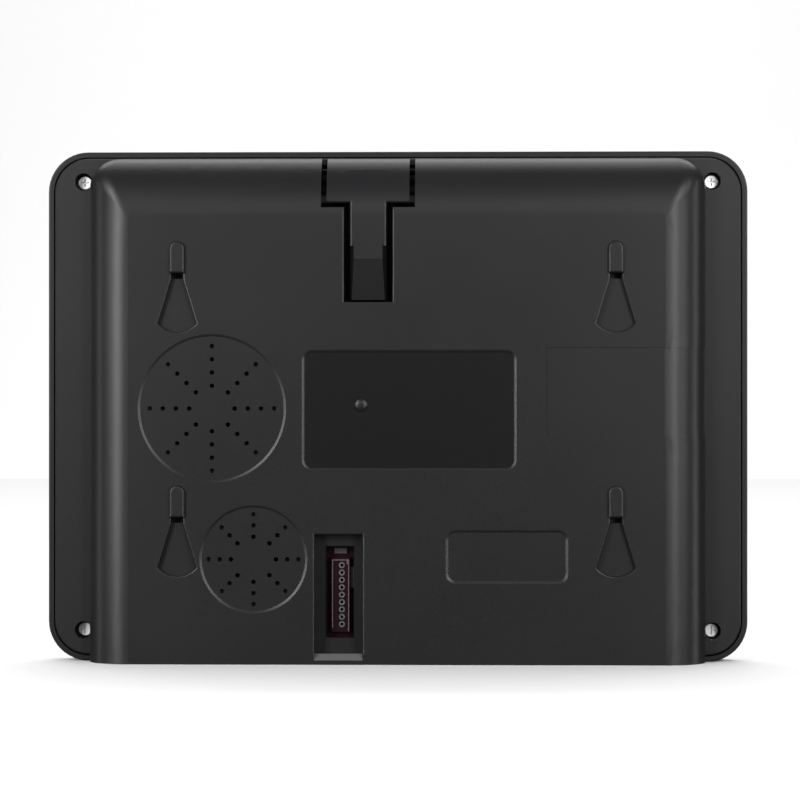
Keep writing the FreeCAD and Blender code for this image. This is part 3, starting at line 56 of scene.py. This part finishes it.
# ------------------------------------------------------------------ material helpers
def new_material(name, colour, roughness, metallic=0.0, **sockets):
    """A principled material; returns the material, its node tree and its shader."""
    material = bpy.data.materials.new(name)
    material.use_nodes = True
    shader = material.node_tree.nodes["Principled BSDF"]
    shader.inputs["Base Color"].default_value = (*colour, 1)
    shader.inputs["Roughness"].default_value = roughness
    shader.inputs["Metallic"].default_value = metallic
    for socket, value in sockets.items():
        shader.inputs[socket.replace("_", " ")].default_value = value
    return material, material.node_tree, shader


def noise(tree, scale, detail=2.0, roughness=0.5, stretch=None):
    """A noise texture in object space; scale is in features per metre."""
    place = tree.nodes.new("ShaderNodeTexCoord")
    texture = tree.nodes.new("ShaderNodeTexNoise")
    texture.inputs["Scale"].default_value = scale
    texture.inputs["Detail"].default_value = detail
    texture.inputs["Roughness"].default_value = roughness
    source = place.outputs["Object"]
    if stretch:
        mapping = tree.nodes.new("ShaderNodeMapping")
        mapping.inputs["Scale"].default_value = stretch
        tree.links.new(source, mapping.inputs["Vector"])
        source = mapping.outputs["Vector"]
    tree.links.new(source, texture.inputs["Vector"])
    return texture.outputs["Fac"]


def ramp(tree, value, stops):
    """A colour ramp from (position, colour) stops."""
    node = tree.nodes.new("ShaderNodeValToRGB")
    band = node.color_ramp
    for index, (position, colour) in enumerate(stops):
        stop = band.elements[index] if index < 2 else band.elements.new(position)
        stop.position = position
        stop.color = (*colour, 1)
    tree.links.new(value, node.inputs["Fac"])
    return node.outputs["Color"]


def spread(tree, value, low, high):
    """The value, mapped from about 0.3..0.7 to low..high."""
    node = tree.nodes.new("ShaderNodeMapRange")
    node.inputs["From Min"].default_value = 0.3
    node.inputs["From Max"].default_value = 0.7
    node.inputs["To Min"].default_value = low
    node.inputs["To Max"].default_value = high
    tree.links.new(value, node.inputs["Value"])
    return node.outputs["Result"]


def bump(tree, shader, height, strength, distance):
    node = tree.nodes.new("ShaderNodeBump")
    node.inputs["Strength"].default_value = strength
    node.inputs["Distance"].default_value = distance
    tree.links.new(height, node.inputs["Height"])
    tree.links.new(node.outputs["Normal"], shader.inputs["Normal"])


def shade(colour, factor):
    return tuple(min(channel * factor, 1.0) for channel in colour)


def moulded(name, colour, roughness, grain=2600, depth=0.02, vary=0.12, **sockets):
    """Moulded plastic: a fine eroded grain, slightly uneven sheen and colour."""
    material, tree, shader = new_material(name, colour, roughness, **sockets)
    broad = noise(tree, 22, 3)
    tree.links.new(ramp(tree, broad, [(0.3, shade(colour, 1 - vary)),
                                      (0.7, shade(colour, 1 + vary))]),
                   shader.inputs["Base Color"])
    fine = noise(tree, grain, 2, 0.6)
    tree.links.new(spread(tree, fine, roughness - 0.04, roughness + 0.05),
                   shader.inputs["Roughness"])
    bump(tree, shader, fine, 0.35, depth * MM)
    return material


def metal(name, colour, roughness, along=(1, 1, 1), scale=900, depth=0.004):
    """Metal with fine marks drawn out along one direction."""
    material, tree, shader = new_material(name, colour, roughness, 1.0)
    marks = noise(tree, scale, 3, 0.6, along)
    tree.links.new(spread(tree, marks, roughness - 0.07, roughness + 0.1),
                   shader.inputs["Roughness"])
    tree.links.new(ramp(tree, noise(tree, 120, 3), [(0.35, shade(colour, 0.86)),
                                                    (0.7, colour)]),
                   shader.inputs["Base Color"])
    bump(tree, shader, marks, 0.25, depth * MM)
    return material


def film(name, colour, roughness, scale=300, vary=0.08, **sockets):
    """Smooth film, paint or moulded skin with a faint mottling."""
    material, tree, shader = new_material(name, colour, roughness, **sockets)
    tone = noise(tree, scale, 3)
    tree.links.new(ramp(tree, tone, [(0.3, shade(colour, 1 - vary)),
                                     (0.7, shade(colour, 1 + vary))]),
                   shader.inputs["Base Color"])
    tree.links.new(spread(tree, tone, roughness - 0.05, roughness + 0.05),
                   shader.inputs["Roughness"])
    return material


def operate(tree, kind, operation, first, second=None):
    """One math node on a socket and a second socket or value; returns its result."""
    node = tree.nodes.new(kind)
    node.operation = operation
    tree.links.new(first, node.inputs[0])
    if isinstance(second, bpy.types.NodeSocket):
        tree.links.new(second, node.inputs[1])
    elif second is not None:
        node.inputs[1].default_value = second
    return node.outputs[0]


def inside(tree, low, high):
    """A factor that is 1 inside a box given in millimetres, and 0 outside it."""
    middle = [(a + b) / 2 * MM for a, b in zip(low, high)]
    half = [(b - a) / 2 * MM for a, b in zip(low, high)]
    place = tree.nodes.new("ShaderNodeTexCoord").outputs["Object"]
    for operation, operand in (("SUBTRACT", middle), ("DIVIDE", half), ("ABSOLUTE", None)):
        place = operate(tree, "ShaderNodeVectorMath", operation, place, operand)
    parts = tree.nodes.new("ShaderNodeSeparateXYZ")
    tree.links.new(place, parts.inputs["Vector"])
    across, deep, up = parts.outputs
    furthest = operate(tree, "ShaderNodeMath", "MAXIMUM", across, deep)
    furthest = operate(tree, "ShaderNodeMath", "MAXIMUM", furthest, up)
    return operate(tree, "ShaderNodeMath", "LESS_THAN", furthest, 1.0)


def recolour(material, box, colour, specular):
    """Give a material another colour and sheen inside one box, in millimetres."""
    tree = material.node_tree
    shader = tree.nodes["Principled BSDF"]
    factor = inside(tree, *box)
    for socket, value in (("Base Color", colour), ("Specular IOR Level", [specular] * 3)):
        target = shader.inputs[socket]
        mix = tree.nodes.new("ShaderNodeMixRGB")
        tree.links.new(factor, mix.inputs["Fac"])
        if target.links:
            tree.links.new(target.links[0].from_socket, mix.inputs["Color1"])
        else:
            before = target.default_value
            mix.inputs["Color1"].default_value = (before, before, before, 1)
        mix.inputs["Color2"].default_value = (*value, 1)
        tree.links.new(mix.outputs["Color"], target)


def paint(node_name, material):
    """Give every material slot of a CAD node the same material."""
    mesh = NODES[node_name].data
    if not mesh.materials:
        mesh.materials.append(material)
    for index in range(len(mesh.materials)):
        mesh.materials[index] = material


# ------------------------------------------------------------------ materials of the pieces
COVER_BLACK = (0.0085, 0.0086, 0.0094)
FRAME_BLACK = (0.0075, 0.0076, 0.0084)
LABEL_BLACK = (0.005, 0.005, 0.0055)
PRINT_BLACK = (0.004, 0.004, 0.0045)
# painted light: a paler tone for the ramp, standing in for the overhead light it faces
RAMP_PAINTED_LIGHT = (0.085, 0.085, 0.088)
# painted shade: the near-black tone put at the bottom of the contact bores
BORE_PAINTED_SHADE = (0.01, 0.002, 0.004)
GLASS_CLEAR = (0.9, 0.92, 0.93)

# low and high corners, in millimetres: the floor of the centre label recess, the ramp at the foot
# of the connector pocket that carries painted light, and the clear part of the lens inside its
# printed border
CENTRE_LABEL = ((-40, 10.8, 65), (31.5, 11.5, 106))
PORT_RAMP = ((11.3, 9.2, 1.5), (27.6, 11.8, 3.7))
SCREEN_WINDOW = ((-81.6, -14, 24.9), (81.6, -11, 148.5))


def printed_glass(name):
    """Glass that is clear in the screen window and printed black round it."""
    material, tree, shader = new_material(name, GLASS_CLEAR, 0.03, IOR=1.5)
    smear = noise(tree, 60, 4, 0.7)
    tree.links.new(spread(tree, smear, 0.02, 0.05), shader.inputs["Roughness"])
    clear = inside(tree, *SCREEN_WINDOW)
    tree.links.new(clear, shader.inputs["Transmission Weight"])
    tree.links.new(ramp(tree, clear, [(0.0, PRINT_BLACK), (1.0, GLASS_CLEAR)]),
                   shader.inputs["Base Color"])
    return material


def ring_contacts(name):
    """Tinned metal, with painted shade at the bottom of each contact's bore."""
    tin = metal(name, (0.36, 0.35, 0.36), 0.3, scale=3000)
    low, high = (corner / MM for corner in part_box("harness_contacts"))
    spare = Vector((1, 1, 1))
    bore_bottom = low.y + 1.2
    top = high + spare
    # painted shade at the bottom of each bore, with less sheen
    recolour(tin, (low - spare, (top.x, bore_bottom, top.z)), BORE_PAINTED_SHADE, 0.1)
    return tin


def paint_all():
    cover = moulded("cover_plastic", COVER_BLACK, 0.36, Specular_IOR_Level=0.3)
    recolour(cover, CENTRE_LABEL, LABEL_BLACK, 0.16)
    # painted light on the ramp at the foot of the connector pocket: a paler tone and a stronger
    # sheen
    recolour(cover, PORT_RAMP, RAMP_PAINTED_LIGHT, 0.5)
    paint("rear_cover", cover)
    paint("release_latch", moulded("latch_plastic", COVER_BLACK, 0.35, Specular_IOR_Level=0.3))
    paint("front_frame", moulded("frame_plastic", FRAME_BLACK, 0.34, grain=3200, depth=0.008,
                                 Specular_IOR_Level=0.3))

    screw = metal("zinc_steel", (0.78, 0.78, 0.79), 0.42, scale=1600)
    for name in ("case_screws", "chassis_screws", "board_screws", "speaker_clamps",
                 "speaker_screws"):
        paint(name, screw)
    paint("latch_pin", metal("blackened_steel", (0.012, 0.012, 0.013), 0.5, scale=2000))
    sheet = metal("sheet_steel", (0.56, 0.57, 0.58), 0.36, (1, 1, 14))
    paint("lcd_steel_frame", sheet)
    paint("lcd_chassis", film("chassis_black", (0.006, 0.006, 0.0062), 0.55, scale=700,
                              Specular_IOR_Level=0.2))
    paint("backlight_tray", metal("tray_aluminium", (0.77, 0.78, 0.79), 0.3, (14, 1, 1)))
    paint("latch_spring", metal("spring_steel", (0.6, 0.6, 0.61), 0.28, scale=2500))
    magnet = metal("magnet_steel", (0.66, 0.65, 0.62), 0.32, scale=1400)
    paint("main_speaker_magnet", magnet)
    paint("small_speaker_magnet", magnet)
    paint("harness_contacts", ring_contacts("tin"))
    paint("capacitors", metal("can_aluminium", (0.8, 0.81, 0.82), 0.3, (1, 1, 8)))
    paint("crystal", metal("crystal_steel", (0.82, 0.82, 0.82), 0.2, scale=2000))

    paint("touch_lens", printed_glass("lens_glass"))
    paint("light_guide", film("clear_acrylic", (0.9, 0.93, 0.95), 0.08, Transmission_Weight=0.9,
                              IOR=1.49))
    paint("lcd_cell", film("lcd_dark", (0.006, 0.0065, 0.008), 0.12, scale=40))
    paint("optical_sheets", film("white_film", (0.86, 0.87, 0.88), 0.5))
    paint("led_strip", film("led_white", (0.88, 0.85, 0.62), 0.45))
    paint("lens_tape", moulded("foam_tape", (0.02, 0.02, 0.02), 0.8, grain=1800, depth=0.05))

    # red solder mask with painted shade: its colour is darkened to the shade it lies in behind the
    # pocket window
    paint("main_board", film("board_red", (0.011, 0.001, 0.003), 0.5, scale=500, vary=0.4,
                             Specular_IOR_Level=0.1))
    chip = moulded("chip_black", (0.016, 0.016, 0.017), 0.5, grain=5000, depth=0.01)
    for name in ("processor_chip", "memory_chips", "power_inductors"):
        paint(name, chip)
    paint("small_passives", film("passive_tan", (0.035, 0.03, 0.028), 0.5, scale=2500, vary=0.4))
    cream = moulded("connector_cream", (0.72, 0.66, 0.53), 0.42, grain=4000, depth=0.01)
    for name in ("lcd_connector", "speaker_headers", "touch_connector"):
        paint(name, cream)
    paint("harness_socket", moulded("socket_dark", (0.009, 0.001, 0.0035), 0.5, grain=4000,
                                    depth=0.01, Specular_IOR_Level=0.1))
    amber = film("ribbon_film", (0.42, 0.2, 0.035), 0.25, scale=800, vary=0.15)
    paint("lcd_ribbon", amber)
    paint("touch_ribbon", amber)
    basket = moulded("basket_paint", (0.03, 0.03, 0.031), 0.35, grain=3000, depth=0.006)
    cone = moulded("cone_paper", (0.02, 0.02, 0.021), 0.75, grain=1500, depth=0.03)
    foam = moulded("gasket_foam", (0.03, 0.03, 0.03), 0.85, grain=1600, depth=0.06)
    lead = film("lead_jacket", (0.4, 0.02, 0.016), 0.4, scale=900)
    for kind in ("main", "small"):
        paint(kind + "_speaker_basket", basket)
        paint(kind + "_speaker_cone", cone)
        paint(kind + "_speaker_gasket", foam)
        paint(kind + "_speaker_leads", lead)


# ------------------------------------------------------------------ printed outline by the contacts
def print_strip(verts, faces, across, up, level, rise):
    """Add a printed stroke with bevelled edges, lying on the face at Y = level."""
    lip = 0.06 * MM
    start = len(verts)
    for inset, height in ((0, 0), (0, rise * 0.5), (lip, rise)):
        left, right = across[0] + inset, across[1] - inset
        low, high = up[0] + inset, up[1] - inset
        verts += [(left, level + height, low), (right, level + height, low),
                  (right, level + height, high), (left, level + height, high)]
    for ring in (0, 4):
        for side in range(4):
            a = start + ring + side
            b = start + ring + (side + 1) % 4
            faces.append((a, a + 4, b + 4, b))
    faces.append(tuple(start + 8 + corner for corner in (3, 2, 1, 0)))
    faces.append(tuple(start + corner for corner in (0, 1, 2, 3)))


def board_legend():
    """The printed outline round the row of contacts: three strokes and a corner block."""
    low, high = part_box("harness_socket")
    first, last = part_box("harness_contacts")
    edge = 0.15 * MM
    line = 0.34 * MM
    top = last.z + 0.9 * MM
    strokes = (((high.x - edge - line, high.x - edge), (first.z - 0.2 * MM, top)),
               ((low.x + edge + line, high.x - edge - line), (top - line, top)),
               ((low.x + edge, low.x + edge + line), (low.z + edge, top)),
               ((low.x + edge + line, low.x + edge + 2.6 * line), (top - 1.5 * MM, top - line)))
    verts = []
    faces = []
    for across, up in strokes:
        print_strip(verts, faces, across, up, high.y, 0.04 * MM)
    mesh = bpy.data.meshes.new("board_legend")
    mesh.from_pydata(verts, [], faces)
    mesh.validate()
    piece = bpy.data.objects.new("board_legend", mesh)
    bpy.context.scene.collection.objects.link(piece)
    mesh.materials.append(film("legend_ink", (0.09, 0.055, 0.065), 0.6, scale=2600, vary=0.35))
    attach(piece, "housing")


# ------------------------------------------------------------------ stage, lights and camera
def pale(name, points, tone):
    """A strip swept along X through (y, z) points, in pale matt paint of one tone."""
    reach = 6.0
    material = bpy.data.materials.new(name + "_paint")
    material.use_nodes = True
    shader = material.node_tree.nodes["Principled BSDF"]
    shader.inputs["Base Color"].default_value = (tone, tone, tone, 1)
    shader.inputs["Roughness"].default_value = 0.9
    shader.inputs["Specular IOR Level"].default_value = 0.1
    mesh = bpy.data.meshes.new(name)
    mesh.from_pydata([(x, y, z) for y, z in points for x in (-reach, reach)], [],
                     [(i, i + 1, i + 3, i + 2) for i in range(0, 2 * len(points) - 2, 2)])
    for face in mesh.polygons:
        face.use_smooth = True
    strip = bpy.data.objects.new(name, mesh)
    bpy.context.scene.collection.objects.link(strip)
    mesh.materials.append(material)
    return strip


def stage():
    """A pale floor that sweeps up behind the object into a white wall."""
    reach = 6.0
    bend = 1.2
    edge = -2.2
    steps = 24
    sweep = []
    for step in range(steps + 1):
        angle = math.radians(90 * step / steps)
        sweep.append((edge - bend * math.sin(angle), bend * (1 - math.cos(angle))))
    pale("wall", sweep + [(edge - bend, reach)], 0.93)
    floor = pale("floor", [(reach, 0.0), (edge, 0.0)], 0.84)
    floor.visible_diffuse = FLOOR_BOUNCE
    floor.visible_glossy = FLOOR_BOUNCE


def softbox(name, place, target, width, height, power):
    data = bpy.data.lights.new(name, "AREA")
    data.shape = "RECTANGLE"
    data.size = width
    data.size_y = height
    data.energy = power
    light = bpy.data.objects.new(name, data)
    light.location = place
    light.rotation_mode = "QUATERNION"
    light.rotation_quaternion = (Vector(target) - Vector(place)).to_track_quat("-Z", "Y")
    light.visible_camera = False
    bpy.context.scene.collection.objects.link(light)


def lights():
    """Long boxes either side and above, a fill on the camera's side, and a wash on the wall."""
    middle = Vector((0, 0, 0.09))
    left = Vector((0.05, 0, 0.09))
    right = Vector((-0.05, 0, 0.09))
    # name, place, target, width, height, watts
    boxes = (("left_box", (0.558, 0.713, 0.30), left, 0.26, 0.7, 8.5),
             ("left_rim", (0.791, 0.488, 0.30), left, 0.13, 0.7, 1.1),
             ("left_side", (0.95, 0.03, 0.12), (0.1, 0.012, 0.09), 0.1, 0.6, 0.8),
             ("right_box", (-0.454, 0.770, 0.30), right, 0.22, 0.7, 5.7),
             ("right_rim", (-0.746, 0.546, 0.30), right, 0.13, 0.7, 2.1),
             ("right_side", (-0.95, 0.03, 0.12), (-0.1, 0.012, 0.09), 0.1, 0.6, 1.3),
             ("top_box", (0, -0.15, 1.0), (0, 0, 0.1), 1.0, 0.15, 1.2),
             ("top_edge", (0, -0.02, 1.0), (0, 0, 0.1), 1.0, 0.15, 1.0),
             ("over_box", (0, -0.6, 1.1), (0, 0.1, 0), 1.8, 0.7, 8.5),
             ("front_fill", (0, 1.148, 0.441), middle, 0.5, 0.15, 0.9),
             ("wall_wash", (0, -1.2, 2.2), (0, -3.2, 0.6), 3.0, 1.0, 68))
    for box in boxes:
        softbox(*box)
    world = bpy.data.worlds.new("studio")
    world.use_nodes = True
    background = world.node_tree.nodes["Background"]
    background.inputs["Color"].default_value = (1, 1, 1, 1)
    background.inputs["Strength"].default_value = 0.1
    bpy.context.scene.world = world


def camera():
    """A long lens about a metre behind the frame, level, a touch to one side."""
    low, _ = CAD_BOX
    data = bpy.data.cameras.new("camera")
    data.lens = 125.8
    data.sensor_width = 36
    data.clip_start = 0.05
    data.clip_end = 20
    cam = bpy.data.objects.new("camera", data)
    aim = Vector((-0.00102, 0.0, low.z + 0.08895))
    yaw = math.radians(-1.3)
    distance = 0.95
    offset = Vector((math.sin(yaw) * distance, math.cos(yaw) * distance, 0))
    cam.location = aim + offset
    cam.rotation_mode = "QUATERNION"
    cam.rotation_quaternion = (-offset).to_track_quat("-Z", "Y")
    bpy.context.scene.collection.objects.link(cam)
    bpy.context.scene.camera = cam
    bpy.context.scene.view_settings.view_transform = "Standard"


paint_all()
board_legend()
stage()
lights()
camera()
